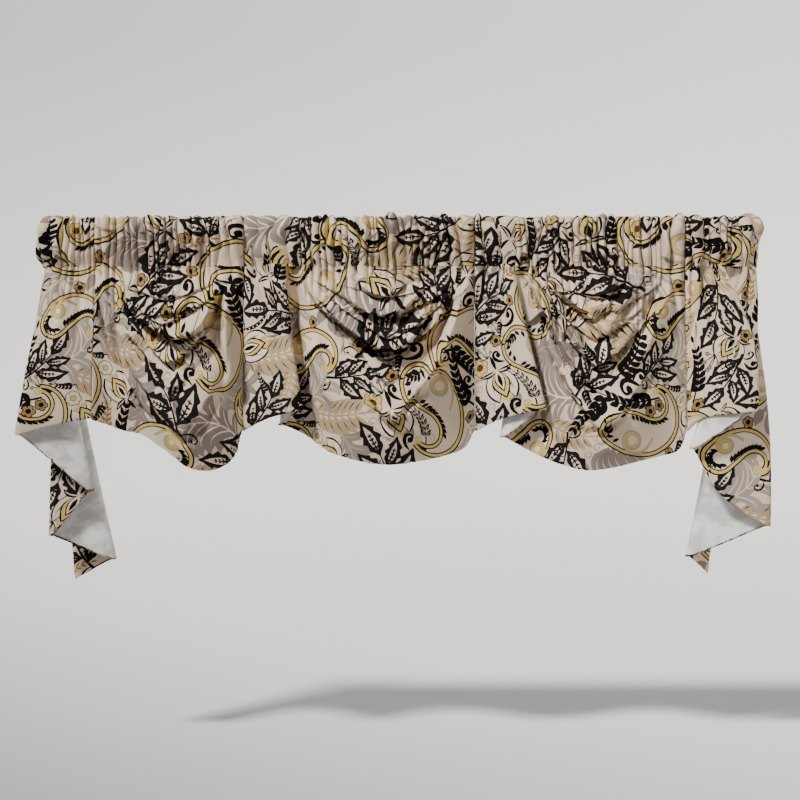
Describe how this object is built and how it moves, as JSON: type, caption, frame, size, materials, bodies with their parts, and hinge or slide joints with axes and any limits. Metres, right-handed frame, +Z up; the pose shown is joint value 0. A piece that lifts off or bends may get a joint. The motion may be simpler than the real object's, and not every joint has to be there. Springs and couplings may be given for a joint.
{
  "type": "window swag",
  "caption": "Lined window swag with a gathered rod pocket, hanging scoops and a cascading jabot at each end.",
  "frame": {"origin": "middle of the rod pocket's top edge, in the plane of the rod", "axes": "+X to the right as seen from the room, +Y towards the window, +Z up"},
  "size_m": [1.2104, 0.196, 0.5914],
  "materials": {
    "print": "matt printed cotton duck: a flower and paisley print in black, grey, gold and tan on ivory",
    "lining": "matt white cotton lining"
  },
  "bodies": {
    "root": {"pocket_left_end": "print", "pocket_left": "print", "pocket_middle": "print", "pocket_right": "print", "pocket_right_end": "print", "jabot_left": "print", "swag_left": "print", "swag_middle": "print", "swag_right": "print", "jabot_right": "print", "lining_jabot_left": "lining", "lining_swag_middle": "lining", "lining_swag_right": "lining", "lining_jabot_right": "lining"}
  },
  "joints": []
}
